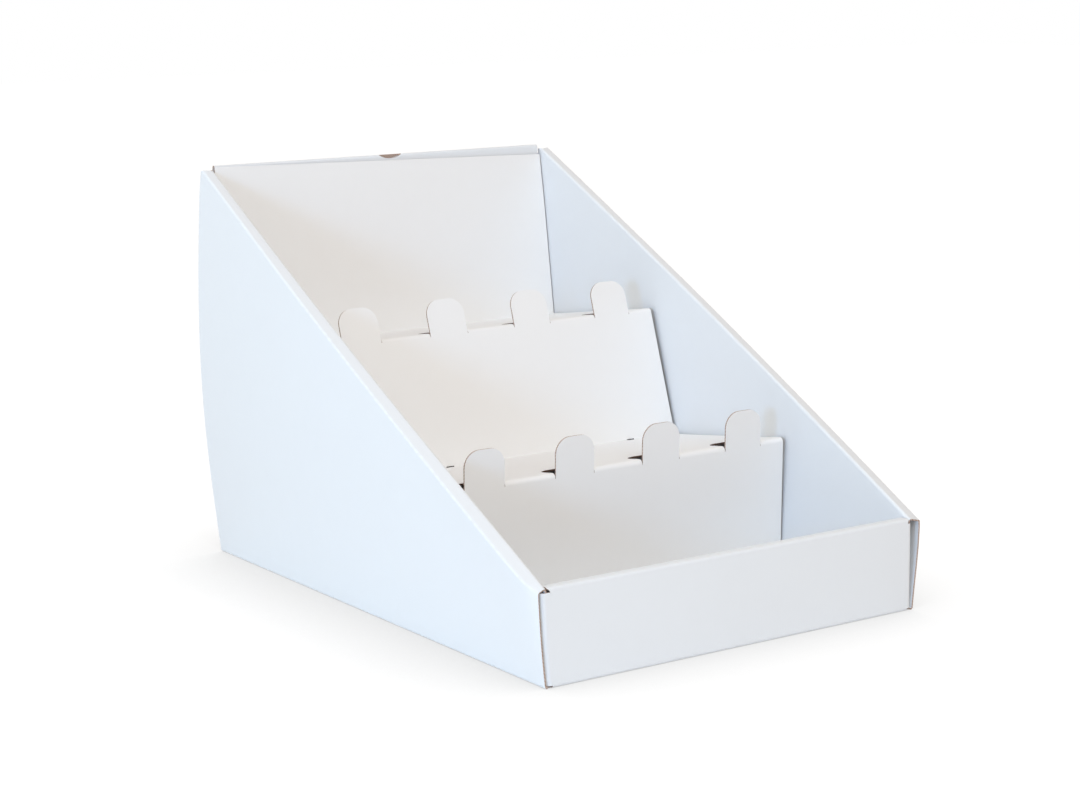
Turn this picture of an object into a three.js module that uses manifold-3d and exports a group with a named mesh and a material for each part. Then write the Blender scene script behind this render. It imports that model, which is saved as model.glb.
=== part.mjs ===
// Counter display box for pocket packs of tissues, in millimetres, +Z up.
// Two folded pieces of white lined board: a tray with roll-over walls, and a stepped insert in it.
// The origin lies on the surface the box stands on, below its middle. The open front faces -Y.

import * as THREE from 'three';
import { mergeVertices } from 'three/addons/utils/BufferGeometryUtils.js';
import Module from 'manifold-3d';

const wasm = await Module();
wasm.setup();

// Board
const board = 1.0;
const creaseRadius = 1.1;
const cutClearance = 0.3;
const restGap = 0.3;

// Tray, over the outside of its board
const trayWidth = 250;
const trayDepth = 368.5;
const backHeight = 243.8;
const lipHeight = 52.8;

// Side walls: two plies with a hollow between them, closed above by a narrow ridge
const sideHollow = 1.8;
const ridgeWidthRear = 6.2;
const ridgeDropRear = 0.4;
const ridgeDropFront = 1.8;
const wallLeanRear = 3.2;
const wallBowRear = 7.4;
const wallBowFront = 0.8;
const wallPinchReach = 6;
const wallCornerRadius = 5;
const outerPlySetback = 0.3;
const innerPlySetback = 4.6;

// The two side walls lean and swell by different amounts towards the front
const rightWall = { side: 1, leanFront: 5, swell: 3.4, pinch: 0, ridgeWidthFront: 7.6 };
const leftWall = { side: -1, leanFront: 7.6, swell: 2.8, pinch: 4.2, ridgeWidthFront: 8.3 };

// Front lip and back wall
const lipHollow = 5;
const lipEndGap = 6.6;
const backHollow = 1.2;
const backEndGap = 5.4;
const cornerCreaseRadius = 2.6;
const lipCornerCutWidth = 5.2;
const lipCornerCutHeight = 7;

// Corner flaps, tucked into the hollow of the side walls
const frontFlapLength = 62;
const frontFlapDrop = 3.4;
const backFlapLength = 70;
const backFlapDrop = 6;
const flapTaper = 0.08;

// How far the top of a flap leans out, beside its crease and at its free end
const rightFlapLean = { atWall: 0.2, atEnd: 1.1 };
const leftFlapLean = { atWall: 1.9, atEnd: 2.1 };
const backFlapLean = { atWall: 0, atEnd: 1.8 };

// Locking tabs of the inner plies and their slots in the base
const lockWidth = 86;
const sideLockWidth = 48;
const sideLockSpread = 190;

// Finger notch in the back wall
const notchWidth = 17;
const notchDepth = 2.6;
const notchOffset = 5.5;

// Insert
const insertClearance = 1.2;
const compartmentDepth = 101.75;
const riserOneHeight = 82.3;
const riserOneLean = 2.8;
const treadOneDepth = 106.9;
const treadOneFall = 13.9;
const riserTwoHeight = 77.3;
const riserTwoLean = 24.5;
const backPanelFoot = 14.8;
const treadTwoFall = 15.3;
const backEdgeDropLeft = 0.8;
const backEdgeDropRight = 6.4;
const stepCreaseRadius = 2.2;

// Tabs that stand up from the steps
const tabWidth = 26;
const tabHeight = 20.4;
const tabCornerRadius = 9.5;
const tabPitch = 60;

// Side wings that carry the treads
const wingCreaseRadius = 2.4;
const wingInset = 4;

// Open cuts in the crease behind the lower tread
const slitLength = 5.2;
const slitWidth = 1.2;
const slitPlaces = [-46.5, 85.8];

// Number of steps along curved stretches
const creaseSteps = 3;
const bowSteps = 9;
const wallSteps = 14;
const pinchSteps = 4;

// Colours and finish of the white lined board
const trayColour = 0xe9ebef;
const insertColour = 0xe7e3e0;

// Lines worked out from the sizes above
const half = board / 2;
const halfWidth = trayWidth / 2;
const halfDepth = trayDepth / 2;
const baseStrip = 8;
const overlap = 0.5;
const sidePlyFoot = halfWidth - board - sideHollow - half;
const flapLine = halfWidth - board - sideHollow / 2;
const lipPlyLine = -halfDepth + board + lipHollow + half;
const backPlyLine = halfDepth - board - backHollow - half;
const insertHalfWidth = sidePlyFoot - half - insertClearance;
const lipHalfWidth = halfWidth - lipEndGap;
const backPlyHalfWidth = halfWidth - backEndGap;
const creaseEnd = flapLine - cornerCreaseRadius;

// A closed surface given by its corners and triangles becomes a solid with its faces out.
function solidFrom(positions, triangles) {
  let volume = 0;
  const a = new THREE.Vector3();
  const b = new THREE.Vector3();
  const c = new THREE.Vector3();
  for (let i = 0; i < triangles.length; i += 3) {
    a.fromArray(positions, 3 * triangles[i]);
    b.fromArray(positions, 3 * triangles[i + 1]);
    c.fromArray(positions, 3 * triangles[i + 2]);
    volume += a.dot(b.cross(c));
  }
  const triVerts = new Uint32Array(triangles);
  if (volume < 0) {
    for (let i = 0; i < triVerts.length; i += 3) {
      const first = triVerts[i];
      triVerts[i] = triVerts[i + 1];
      triVerts[i + 1] = first;
    }
  }
  const vertProperties = new Float32Array(positions);
  return new wasm.Manifold(new wasm.Mesh({ numProp: 3, vertProperties, triVerts }));
}

// A geometry of three.js as a solid, after it has been moved to its place.
function solidOf(geometry, matrix) {
  const placed = geometry.clone().applyMatrix4(matrix);
  placed.deleteAttribute('normal');
  placed.deleteAttribute('uv');
  const merged = mergeVertices(placed, 1e-4);
  return solidFrom(Array.from(merged.attributes.position.array), Array.from(merged.index.array));
}

// A block between two opposite corners.
function block(x0, y0, z0, x1, y1, z1) {
  const geometry = new THREE.BoxGeometry(x1 - x0, y1 - y0, z1 - z0);
  const centre = new THREE.Matrix4().makeTranslation((x0 + x1) / 2, (y0 + y1) / 2, (z0 + z1) / 2);
  return solidOf(geometry, centre);
}

// A flat shape drawn in the plane of two unit directions and given a thickness across it.
function plate(shape, thickness, origin, along, up) {
  const across = new THREE.Vector3().crossVectors(along, up);
  const depth = { depth: thickness, bevelEnabled: false, curveSegments: 6 };
  const geometry = new THREE.ExtrudeGeometry(shape, depth);
  geometry.translate(0, 0, -thickness / 2);
  const matrix = new THREE.Matrix4().makeBasis(along, up, across).setPosition(origin);
  return solidOf(geometry, matrix);
}

// The middle line of a folded strip. Each corner is [u, v, radius], and a radius makes it a crease.
function foldedLine(corners) {
  const points = corners.map(([u, v]) => new THREE.Vector2(u, v));
  const line = [points[0]];
  for (let i = 1; i < points.length - 1; i += 1) {
    const radius = corners[i][2] ?? 0;
    const into = points[i].clone().sub(points[i - 1]).normalize();
    const out = points[i + 1].clone().sub(points[i]).normalize();
    const turn = Math.atan2(into.cross(out), into.dot(out));
    if (radius === 0 || turn === 0) {
      line.push(points[i]);
      continue;
    }
    const reach = radius * Math.tan(Math.abs(turn) / 2);
    const start = points[i].clone().addScaledVector(into, -reach);
    const side = Math.sign(turn);
    const centre = start.clone().add(new THREE.Vector2(-into.y, into.x).multiplyScalar(side * radius));
    for (let step = 0; step <= creaseSteps; step += 1) {
      line.push(start.clone().rotateAround(centre, turn * step / creaseSteps));
    }
  }
  line.push(points[points.length - 1]);
  return line;
}

// Both faces of a strip of board, half a thickness to each side of its middle line.
function boardFaces(line) {
  const left = [];
  const right = [];
  for (let i = 0; i < line.length; i += 1) {
    const before = line[Math.max(i - 1, 0)];
    const here = line[i];
    const after = line[Math.min(i + 1, line.length - 1)];
    const into = (i > 0 ? here.clone().sub(before) : after.clone().sub(here)).normalize();
    const out = (i < line.length - 1 ? after.clone().sub(here) : into.clone()).normalize();
    const mean = into.clone().add(out).normalize();
    const reach = half / mean.dot(out);
    const normal = new THREE.Vector2(-mean.y, mean.x).multiplyScalar(reach);
    left.push(here.clone().add(normal));
    right.push(here.clone().sub(normal));
  }
  return { left, right };
}

// A sheet of board through a row of folded middle lines. place(u, v, station) gives a point in space.
function sheet(lines, place) {
  const positions = [];
  const triangles = [];
  const count = lines[0].length;
  lines.forEach((line, station) => {
    const { left, right } = boardFaces(line);
    for (const point of [...left, ...right]) {
      positions.push(...place(point.x, point.y, station));
    }
  });
  const corner = (station, face, i) => station * 2 * count + face * count + i;
  const quad = (a, b, c, d) => triangles.push(a, b, c, a, c, d);
  for (let s = 0; s < lines.length - 1; s += 1) {
    for (let i = 0; i < count - 1; i += 1) {
      quad(corner(s, 0, i), corner(s, 0, i + 1), corner(s + 1, 0, i + 1), corner(s + 1, 0, i));
      quad(corner(s, 1, i + 1), corner(s, 1, i), corner(s + 1, 1, i), corner(s + 1, 1, i + 1));
    }
    quad(corner(s, 1, 0), corner(s, 0, 0), corner(s + 1, 0, 0), corner(s + 1, 1, 0));
    const last = count - 1;
    quad(corner(s, 0, last), corner(s, 1, last), corner(s + 1, 1, last), corner(s + 1, 0, last));
  }
  const end = lines.length - 1;
  for (let i = 0; i < count - 1; i += 1) {
    quad(corner(0, 0, i + 1), corner(0, 0, i), corner(0, 1, i), corner(0, 1, i + 1));
    quad(corner(end, 0, i), corner(end, 0, i + 1), corner(end, 1, i + 1), corner(end, 1, i));
  }
  return solidFrom(positions, triangles);
}

// A sheet that is folded about lines along X only.
function sheetAcross(corners, x0, x1) {
  const line = foldedLine(corners);
  const places = [x0, x1];
  return sheet([line, line], (u, v, station) => [places[station], u, v]);
}

const axisX = new THREE.Vector3(1, 0, 0);
const axisY = new THREE.Vector3(0, 1, 0);
const axisZ = new THREE.Vector3(0, 0, 1);

// Share of the way from the rear of a side wall to its front.
const towardsFront = (y) => (halfDepth - y) / trayDepth;

// Height of the sloping top of the side walls.
const slopeHeight = (y) => backHeight - (backHeight - lipHeight) * towardsFront(y);

const mix = (rear, front, share) => rear + (front - rear) * share;

// How far the top of a side wall leans out past the edge of the base.
function wallLean(wall, y) {
  const front = towardsFront(y);
  return mix(wallLeanRear, wall.leanFront, front) + wall.swell * Math.sin(Math.PI * front);
}

// How far a side wall is pulled in again close to its front edge.
const wallPinch = (wall, y) => wall.pinch * Math.exp(-(y + halfDepth) / wallPinchReach);

// How far the outer ply stands out past the edge of the base, at a place and a share of its height.
function wallBulge(wall, y, share) {
  const bow = mix(wallBowRear, wallBowFront, towardsFront(y));
  return (wallLean(wall, y) - wallPinch(wall, y)) * share + bow * Math.sin(Math.PI * share);
}

// The two creases of the ridge on top of a side wall, on the middle of the board.
function ridgeCreases(wall, y) {
  const front = towardsFront(y);
  const outerX = halfWidth - half + wallBulge(wall, y, 1);
  const innerX = halfWidth - half + wallLean(wall, y) - mix(ridgeWidthRear, wall.ridgeWidthFront, front);
  const drop = mix(ridgeDropRear, ridgeDropFront, front);
  const outer = [outerX, slopeHeight(y) - half - drop];
  const inner = [innerX, slopeHeight(y) - half];
  return { outer, inner };
}

// Outer ply and ridge of a side wall, from the base up and over to just below the inner crease.
function outerPlyLine(wall, y) {
  const { outer, inner } = ridgeCreases(wall, y);
  const corners = [[halfWidth - baseStrip - overlap, half], [halfWidth - half, half, creaseRadius]];
  for (let step = 1; step <= bowSteps; step += 1) {
    const share = step / (bowSteps + 1);
    corners.push([halfWidth - half + wallBulge(wall, y, share), mix(half, outer[1], share)]);
  }
  const down = new THREE.Vector2(sidePlyFoot - inner[0], board - inner[1]).normalize();
  const tail = 4 * creaseRadius;
  corners.push([...outer, creaseRadius], [...inner, creaseRadius]);
  corners.push([inner[0] + down.x * tail, inner[1] + down.y * tail]);
  return foldedLine(corners);
}

// Inner ply of a side wall, from the inner crease down to the base.
function innerPlyLine(wall, y) {
  const { inner } = ridgeCreases(wall, y);
  const down = new THREE.Vector2(sidePlyFoot - inner[0], board - inner[1]).normalize();
  const start = 2 * creaseRadius;
  const corners = [[inner[0] + down.x * start, inner[1] + down.y * start]];
  corners.push([sidePlyFoot, board + restGap]);
  return foldedLine(corners);
}

// Locking tab that stands in a slot of the base below an inner ply, and the slot around it.
function lock(x0, y0, x1, y1) {
  const tab = block(x0, y0, 0, x1, y1, board + 2 * restGap);
  const slot = block(
    x0 - cutClearance, y0 - cutClearance, -board,
    x1 + cutClearance, y1 + cutClearance, board + restGap / 2,
  );
  return { tab, slot };
}

// Places along a side wall, closer together at the front, where the wall is pinched.
function wallPlaces(setback) {
  const front = -halfDepth + setback;
  const rear = halfDepth - setback;
  const places = [];
  for (let step = 0; step < pinchSteps; step += 1) {
    places.push(front + 2 * wallPinchReach * step / pinchSteps);
  }
  for (let step = 0; step <= wallSteps; step += 1) {
    places.push(mix(front + 2 * wallPinchReach, rear, step / wallSteps));
  }
  return places;
}

// One side wall, with its inner ply and the rounded top corner at the rear.
function sideWall(wall) {
  const { side } = wall;
  const outerPlaces = wallPlaces(outerPlySetback);
  const innerPlaces = wallPlaces(innerPlySetback);
  const outerLines = outerPlaces.map((y) => outerPlyLine(wall, y));
  const innerLines = innerPlaces.map((y) => innerPlyLine(wall, y));
  const outerPly = sheet(outerLines, (u, v, station) => [side * u, outerPlaces[station], v]);
  const innerPly = sheet(innerLines, (u, v, station) => [side * u, innerPlaces[station], v]);

  const corner = new THREE.Shape();
  corner.moveTo(board, board);
  corner.lineTo(board, -wallCornerRadius);
  corner.lineTo(0, -wallCornerRadius);
  corner.absarc(-wallCornerRadius, -wallCornerRadius, wallCornerRadius, 0, Math.PI / 2, false);
  corner.lineTo(-wallCornerRadius, board);
  corner.lineTo(board, board);
  const cutWidth = 2 * (wallBowRear + ridgeWidthRear);
  const cutPlace = new THREE.Vector3(side * halfWidth, halfDepth - outerPlySetback, backHeight);
  const rearCorner = plate(corner, cutWidth, cutPlace, axisY, axisZ);
  return outerPly.subtract(rearCorner).add(innerPly);
}

// A wall that is folded up from the front or rear edge of the base and rolled over to the inside.
function rollOverWall(outerLine, innerLine, height, outerHalfWidth, innerHalfWidth) {
  const inwards = Math.sign(innerLine - outerLine);
  const foot = outerLine + inwards * (baseStrip + overlap);
  const top = height - half;
  const ridgeRadius = Math.min(creaseRadius, 0.4 * Math.abs(innerLine - outerLine));
  const outerPly = sheetAcross(
    [[foot, half], [outerLine, half, creaseRadius], [outerLine, top - 2 * creaseRadius]],
    -outerHalfWidth, outerHalfWidth,
  );
  const roll = sheetAcross(
    [[outerLine, top - 3 * creaseRadius], [outerLine, top, ridgeRadius],
      [innerLine, top, ridgeRadius], [innerLine, board + restGap]],
    -innerHalfWidth, innerHalfWidth,
  );
  return outerPly.add(roll);
}

// Corner flap at one end of the front or rear wall. Its outline is drawn from the wall inwards and up.
function cornerFlap(side, wallLine, inwards, lean, topAtWall, topAtEnd, length) {
  const bend = (leanAtWall, leanAtEnd) => foldedLine([
    [creaseEnd - overlap, wallLine],
    [flapLine + leanAtWall, wallLine, cornerCreaseRadius],
    [flapLine + leanAtEnd, wallLine + inwards * length],
  ]);
  const bottom = board + restGap;
  const top = Math.max(topAtWall, topAtEnd) + board;
  const heights = [bottom, top];
  const lines = [bend(0, 0), bend(lean.atWall, lean.atEnd)];
  const flap = sheet(lines, (u, v, station) => [side * u, v, heights[station]]);
  const trim = new THREE.Shape();
  trim.moveTo(-2 * board, topAtWall);
  trim.lineTo(length * (1 - flapTaper), topAtEnd);
  trim.lineTo(length + board, bottom - board);
  trim.lineTo(length + board, top + board);
  trim.lineTo(-2 * board, top + board);
  const middle = new THREE.Vector3(side * flapLine, wallLine, 0);
  const along = axisY.clone().multiplyScalar(inwards);
  const cutWidth = 2 * (cornerCreaseRadius + sideHollow + board);
  return flap.subtract(plate(trim, 2 * cutWidth, middle, along, axisZ));
}

// What the slanted cut takes off the top corner of the front lip, beside its ridge.
function lipCorner(side) {
  const reach = side * (lipCornerCutWidth + board);
  const shape = new THREE.Shape();
  shape.moveTo(0, board);
  shape.lineTo(0, 0);
  shape.lineTo(side * lipCornerCutWidth, -lipCornerCutHeight);
  shape.lineTo(reach, -lipCornerCutHeight);
  shape.lineTo(reach, board);
  const place = new THREE.Vector3(side * lipHalfWidth, -halfDepth, lipHeight - half);
  return plate(shape, 2 * cornerCreaseRadius + board, place, axisX, axisZ);
}

// Folded tray: base, bowed side walls, front lip, rear wall, corner flaps and locks.
function trayGeometry() {
  const lipLine = -halfDepth + half;
  const backLine = halfDepth - half;
  let tray = block(
    -halfWidth + baseStrip, -halfDepth + baseStrip, 0,
    halfWidth - baseStrip, halfDepth - baseStrip, board,
  );
  let lip = rollOverWall(lipLine, lipPlyLine, lipHeight, creaseEnd, lipHalfWidth);
  let back = rollOverWall(backLine, backPlyLine, backHeight, creaseEnd, backPlyHalfWidth);

  const frontTop = lipHeight - frontFlapDrop;
  const rearTop = backHeight - backFlapDrop;
  const slopeFall = (backHeight - lipHeight) / trayDepth;
  const rearEnd = rearTop - slopeFall * backFlapLength;
  for (const side of [-1, 1]) {
    const frontLean = side > 0 ? rightFlapLean : leftFlapLean;
    const frontFlap = cornerFlap(side, lipLine, 1, frontLean, frontTop, frontTop, frontFlapLength);
    const backFlap = cornerFlap(side, backLine, -1, backFlapLean, rearTop, rearEnd, backFlapLength);
    lip = lip.add(frontFlap).subtract(lipCorner(side));
    back = back.add(backFlap);
  }
  tray = tray.add(sideWall(rightWall)).add(sideWall(leftWall)).add(lip).add(back);

  const locks = [];
  locks.push(lock(-lockWidth / 2, lipPlyLine - half, lockWidth / 2, lipPlyLine + half));
  locks.push(lock(-lockWidth / 2, backPlyLine - half, lockWidth / 2, backPlyLine + half));
  for (const side of [-1, 1]) {
    for (const end of [-1, 1]) {
      const middle = end * sideLockSpread / 2;
      const faces = [side * (sidePlyFoot - half), side * (sidePlyFoot + half)].sort((p, q) => p - q);
      locks.push(lock(faces[0], middle - sideLockWidth / 2, faces[1], middle + sideLockWidth / 2));
    }
  }
  for (const { slot } of locks) {
    tray = tray.subtract(slot);
  }
  for (const { tab } of locks) {
    tray = tray.add(tab);
  }

  const notchRadius = (notchWidth * notchWidth / 4 + notchDepth * notchDepth) / (2 * notchDepth);
  const notch = new THREE.Shape().absarc(0, 0, notchRadius, 0, 2 * Math.PI, false);
  const notchPlace = new THREE.Vector3(notchOffset, backPlyLine, backHeight - notchDepth + notchRadius);
  return tray.subtract(plate(notch, 2 * backHollow + board, notchPlace, axisX, axisZ));
}

// Corners of the insert's section, from the foot of its front riser to the foot of its back panel.
function insertSection() {
  const y1 = lipPlyLine + half + compartmentDepth + half;
  const y2 = y1 + treadOneDepth;
  const y3 = y2 + riserTwoLean;
  const backFace = backPlyLine - half;
  const z2 = riserOneHeight - treadOneFall;
  const z3 = z2 + riserTwoHeight;
  const foot = new THREE.Vector2(y1 + riserOneLean, board + restGap);
  const foldOne = new THREE.Vector2(y1, riserOneHeight);
  const valleyOne = new THREE.Vector2(y2, z2);
  const foldTwo = new THREE.Vector2(y3, z3);
  const valleyTwo = new THREE.Vector2(backFace - backPanelFoot, z3 - treadTwoFall);
  const rest = new THREE.Vector2(backFace - restGap - half, backHeight - backEdgeDropLeft);
  return { foot, foldOne, valleyOne, foldTwo, valleyTwo, rest };
}

// Outline of a tab standing on its crease, grown by a margin and reaching down past the crease by root.
function tabShape(margin, root) {
  const reach = tabWidth / 2 + margin;
  const top = tabHeight + margin;
  const radius = tabCornerRadius + margin;
  const shape = new THREE.Shape();
  shape.moveTo(-reach, -root);
  shape.lineTo(reach, -root);
  shape.lineTo(reach, top - radius);
  shape.absarc(reach - radius, top - radius, radius, 0, Math.PI / 2, false);
  shape.lineTo(-reach + radius, top);
  shape.absarc(-reach + radius, top - radius, radius, Math.PI / 2, Math.PI, false);
  shape.lineTo(-reach, -root);
  return shape;
}

// Direction in the YZ plane from one corner of the section to the next.
function direction(from, to) {
  const flat = to.clone().sub(from).normalize();
  return new THREE.Vector3(0, flat.x, flat.y);
}

// Wing at one end of a tread: it folds down from the tread and stands on the base.
function treadWing(side, front, rear) {
  const outer = insertHalfWidth - half;
  const places = [front, rear];
  const lines = places.map((point) => foldedLine([
    [insertHalfWidth - baseStrip - overlap, point.y],
    [outer, point.y, wingCreaseRadius],
    [outer, board + restGap],
  ]));
  return sheet(lines, (u, v, station) => [side * u, places[station].x, v]);
}

// Stepped insert: two risers, two treads and a back panel, with eight tabs and four wings.
function insertGeometry() {
  const { foot, foldOne, valleyOne, foldTwo, valleyTwo, rest } = insertSection();
  const corners = [
    [foot.x, foot.y],
    [foldOne.x, foldOne.y, stepCreaseRadius],
    [valleyOne.x, valleyOne.y, creaseRadius],
    [foldTwo.x, foldTwo.y, stepCreaseRadius],
    [valleyTwo.x, valleyTwo.y, creaseRadius],
    [rest.x, rest.y],
  ];
  let insert = sheetAcross(corners, -insertHalfWidth, insertHalfWidth);

  // The raw top edge of the back panel runs down a little from left to right.
  const edge = new THREE.Shape();
  edge.moveTo(-insertHalfWidth - board, backHeight - backEdgeDropLeft);
  edge.lineTo(insertHalfWidth + board, backHeight - backEdgeDropRight);
  edge.lineTo(insertHalfWidth + board, backHeight + board);
  edge.lineTo(-insertHalfWidth - board, backHeight + board);
  insert = insert.subtract(plate(edge, 4 * backPanelFoot, new THREE.Vector3(0, rest.x, 0), axisX, axisZ));

  // Wings at both ends of both treads, where the tread's own edge is cut back to the crease.
  const treads = [[foldOne, valleyOne], [foldTwo, valleyTwo]];
  for (const [fold, valley] of treads) {
    const run = valley.clone().sub(fold);
    const reach = run.length();
    const front = fold.clone().addScaledVector(run, wingInset / reach);
    const rear = valley.clone().addScaledVector(run, -wingInset / reach);
    for (const side of [-1, 1]) {
      const inner = side * (insertHalfWidth - baseStrip);
      const outer = side * (insertHalfWidth + board);
      const low = Math.min(front.y, rear.y) - 2 * board;
      const high = Math.max(front.y, rear.y) + 2 * board;
      const cut = block(
        Math.min(inner, outer), front.x, low, Math.max(inner, outer), rear.x, high,
      );
      insert = insert.subtract(cut).add(treadWing(side, front, rear));
    }
  }

  // A tab is cut free in the tread and stays in the plane of the riser below it.
  const perRow = Math.floor((2 * insertHalfWidth - tabWidth) / tabPitch) + 1;
  const rows = [
    { fold: foldOne, up: direction(foot, foldOne), back: direction(foldOne, valleyOne) },
    { fold: foldTwo, up: direction(valleyOne, foldTwo), back: direction(foldTwo, valleyTwo) },
  ];
  const root = 2 * stepCreaseRadius;
  for (const { fold, up, back } of rows) {
    for (let i = 0; i < perRow; i += 1) {
      const x = (i - (perRow - 1) / 2) * tabPitch;
      const place = new THREE.Vector3(x, fold.x, fold.y);
      const opening = plate(tabShape(cutClearance, root), 4 * stepCreaseRadius, place, axisX, back);
      insert = insert.subtract(opening);
      insert = insert.add(plate(tabShape(0, 2 * root), board, place, axisX, up));
    }
  }

  for (const x of slitPlaces) {
    const slit = block(
      x - slitLength / 2, valleyOne.x - slitWidth, valleyOne.y - slitWidth,
      x + slitLength / 2, valleyOne.x + slitWidth, valleyOne.y + slitWidth,
    );
    insert = insert.subtract(slit);
  }
  return insert;
}

// A named part of the box with its own finish.
function namedMesh(name, solid, colour) {
  const { vertProperties, triVerts } = solid.getMesh();
  const geometry = new THREE.BufferGeometry();
  geometry.setAttribute('position', new THREE.BufferAttribute(new Float32Array(vertProperties), 3));
  geometry.setIndex(new THREE.BufferAttribute(new Uint32Array(triVerts), 1));
  geometry.computeVertexNormals();
  const material = new THREE.MeshStandardMaterial({ color: colour, roughness: 0.55, metalness: 0 });
  const mesh = new THREE.Mesh(geometry, material);
  mesh.name = name;
  return mesh;
}

const displayBox = new THREE.Group();
displayBox.add(namedMesh('folded_tray', trayGeometry(), trayColour));
displayBox.add(namedMesh('stepped_insert', insertGeometry(), insertColour));

export default displayBox;
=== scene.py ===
import math
from functools import lru_cache

import bmesh
import bpy
from mathutils import Matrix, Vector


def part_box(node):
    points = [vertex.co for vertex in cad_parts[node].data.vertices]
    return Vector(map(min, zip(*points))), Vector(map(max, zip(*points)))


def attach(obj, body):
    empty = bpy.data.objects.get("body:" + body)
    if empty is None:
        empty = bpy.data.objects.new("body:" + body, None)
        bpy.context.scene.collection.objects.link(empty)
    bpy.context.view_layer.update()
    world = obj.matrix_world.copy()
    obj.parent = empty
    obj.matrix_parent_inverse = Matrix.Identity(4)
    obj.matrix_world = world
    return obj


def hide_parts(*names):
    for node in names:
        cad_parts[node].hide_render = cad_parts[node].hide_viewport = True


bl_info = {
    "name": "Tissue display box",
    "version": (1, 0, 0),
    "blender": (4, 5, 0),
    "location": "View3D > Sidebar > Display box",
    "description": "Folds a stepped counter display box from white lined board",
    "category": "Add Mesh",
}

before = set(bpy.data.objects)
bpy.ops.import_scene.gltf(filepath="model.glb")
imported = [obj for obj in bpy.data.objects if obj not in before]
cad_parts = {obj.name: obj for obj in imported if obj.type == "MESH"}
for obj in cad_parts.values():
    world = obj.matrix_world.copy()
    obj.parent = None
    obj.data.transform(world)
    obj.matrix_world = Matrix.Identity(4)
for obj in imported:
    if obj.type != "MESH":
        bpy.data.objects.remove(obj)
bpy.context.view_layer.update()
TRAY_LOW, TRAY_HIGH = (Vector(corner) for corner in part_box("folded_tray"))

MM = 0.001
TRAY = "folded_tray"
INSERT = "stepped_insert"

# Creases and gaps of the folded tray, in millimetres
CREASE = 1.1
REST_GAP = 0.3
BASE_STRIP = 8.5
SIDE_HOLLOW = 1.8
LIP_HOLLOW = 5.0
BACK_HOLLOW = 1.2
CORNER_CREASE = 2.6
FLAP_CREASE = 2.2
OUTER_SETBACK = 0.3
INNER_SETBACK = 4.6
WALL_CORNER = 5.0
BASE_STRIP_MITRE = 1.8
WALL_LEAN_REAR = 3.2
WALL_BOW = (7.1, 0.5)
WALL_RIPPLE = 0.1
WALL_WAVE = 0.2
INNER_PLY_SAG = 0.35
RIDGE_WIDTH_REAR = 6.2
RIDGE_DROP = (0.4, 1.8)
PINCH_REACH = 6.0
RIGHT_WALL = {"side": 1, "lean": 5.0, "swell": 3.4, "pinch": 0.0, "ridge": 7.6}
LEFT_WALL = {"side": -1, "lean": 7.6, "swell": 2.8, "pinch": 4.2, "ridge": 8.3}
LIP_END_GAP = 0.4
REAR_END_GAP = 5.4
FRONT_FLAP = {"length": 62.0, "drop": 2.6, 1: (0.2, 1.1, 0.0), -1: (3.1, 2.1, 0.5)}
BACK_FLAP = {"length": 70.0, "drop": 6.0, 1: (0.0, 1.8, 0.0), -1: (0.0, 1.8, 0.0)}
FLAP_TAPER = 0.08
PLY_BEND = 0.12
LOCK_CLEARANCE = 0.3
LOCK_WIDTH = 86.0
SIDE_LOCK_WIDTH = 48.0
SIDE_LOCK_SPREAD = 190.0
NOTCH = {"width": 17.0, "depth": 2.6, "x": 5.5}

# Rows of folds in a sheet: foot crease, outer ply and inner ply of the walls
WALL_FOOT_ROWS = 9
WALL_OUTER_ROWS = 20
WALL_INNER_ROWS = 6
LIP_OUTER_ROWS = 22
REAR_OUTER_ROWS = 17

# Wear of the ridge's crease: its band below the top, its strength, and where it fades
WEAR_BAND = 1.6
WEAR_STRENGTH = 0.5
WEAR_FADE = (30, 60, 0.15)

# The insert's section, in millimetres
STEP_CREASE = 2.2
WING_CREASE = 2.4
WING_INSET = 4.0
COMPARTMENT = 101.75
RISER_ONE = (82.3, 2.8)
TREAD_ONE = (106.9, 13.9)
RISER_TWO = (77.3, 24.5)
TREAD_TWO_FALL = 15.3
BACK_PANEL_FOOT = 14.8
BACK_EDGE_DROP = (0.8, 6.4)
INSERT_CLEARANCE = 0.8
INSERT_SLACK = 0.25
CUT_CLEARANCE = 0.3
SLITS = ((-46.5, 5.2), (85.8, 5.2))
SLIT_DEPTH = 1.2

# The photograph's viewpoint
CAMERA_PLACE = (-0.75881, -1.13650, 0.35691)
CAMERA_TURN = (0.587150, 0.181337, -0.018641)
CAMERA_LENS = 78.305

# Lamps around the box: name, place, aim, size, energy, colour
LAMPS = (
    ("window_left", (-1.50, 0.15, 0.55), (0, 0, 0.10), 1.2, 7.8, (0.79, 0.95, 1.0)),
    ("window_front", (-0.35, -1.42, 1.15), (0, 0, 0.10), 1.0, 13.6, (0.73, 0.79, 0.81)),
    ("ceiling", (0, -0.25, 1.70), (0, 0, 0), 1.4, 4.9, (0.84, 0.91, 1.0)),
    ("key", (-1.73, -0.97, 0.38), (0, 0, 0.12), 0.34, 8.6, (0.29, 0.58, 1.0)),
)
SKY_COLOUR = (1.0, 0.850, 0.725, 1.0)
SKY_STRENGTH = 0.525

# The floor: reach of the contact shadow in metres, its depth, its darkest level, lift to white
SHADOW_REACH = 0.10
SHADOW_DEPTH = 0.54
SHADOW_LEVEL = 0.585
FLOOR_LIFT = 0.85

# Fluting and relief of the board, in metres
FLUTE_PITCH = 0.0018
RELIEF = 0.00006
EDGE_RELIEF = 0.0002


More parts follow.
